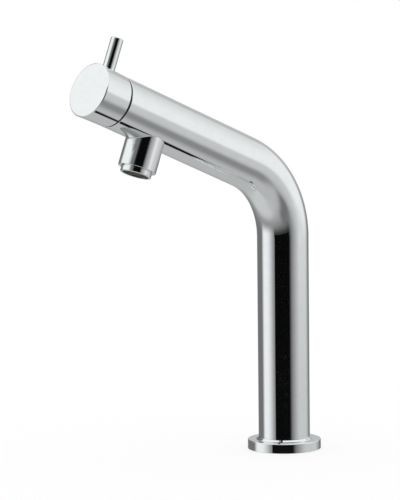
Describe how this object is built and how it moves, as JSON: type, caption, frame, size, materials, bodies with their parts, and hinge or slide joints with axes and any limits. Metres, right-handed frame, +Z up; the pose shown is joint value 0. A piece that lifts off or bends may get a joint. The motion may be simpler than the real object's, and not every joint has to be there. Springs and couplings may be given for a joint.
{
  "type": "pillar tap",
  "caption": "Deck-mounted pillar tap: a bent chrome tube with a rising arm, a turning end head with a pin lever, and a short outlet nozzle with an aerator.",
  "frame": {"origin": "middle of the flange's underside, on the deck", "axes": "+Z up the pillar's axis, +X the way the arm and outlet point, XZ the plane of symmetry"},
  "size_m": [0.1807, 0.0456, 0.2578],
  "materials": {
    "chrome": "polished chrome plate on brass",
    "brass": "turned, bare",
    "steel": "bright stainless",
    "steel_mesh": "fine woven mesh",
    "ceramic": "lapped alumina",
    "rubber": "matt black",
    "fibre": "pressed fibre, matt",
    "black_plastic": "satin black",
    "white_plastic": "natural white"
  },
  "bodies": {
    "spout": {"pillar_spout": "chrome", "base_flange": "chrome", "aerator_housing": "chrome", "inlet_bush": "brass", "valve_housing": "brass", "headwork_body": "brass", "aerator_screen": "steel_mesh", "fixed_disc": "ceramic", "flange_oring": "rubber", "deck_gasket": "rubber", "housing_orings": "rubber", "seat_seal": "rubber", "aerator_washer": "rubber", "headwork_gasket": "fibre", "glide_ring": "black_plastic", "aerator_insert": "white_plastic"},
    "handle": {"spindle": "brass", "moving_disc": "ceramic", "spindle_washer": "white_plastic", "spindle_orings": "rubber", "spindle_clip": "steel", "handle_cap": "chrome", "handle_bush": "brass", "handle_screw": "steel", "handle_pin": "chrome"}
  },
  "joints": [
    {"name": "handle_turn", "type": "hinge", "parent": "spout", "child": "handle", "pos_m": [0.13376, 0, 0.22026], "axis": [0.9304, 0, 0.3665], "range_deg": [0, 90]}
  ]
}
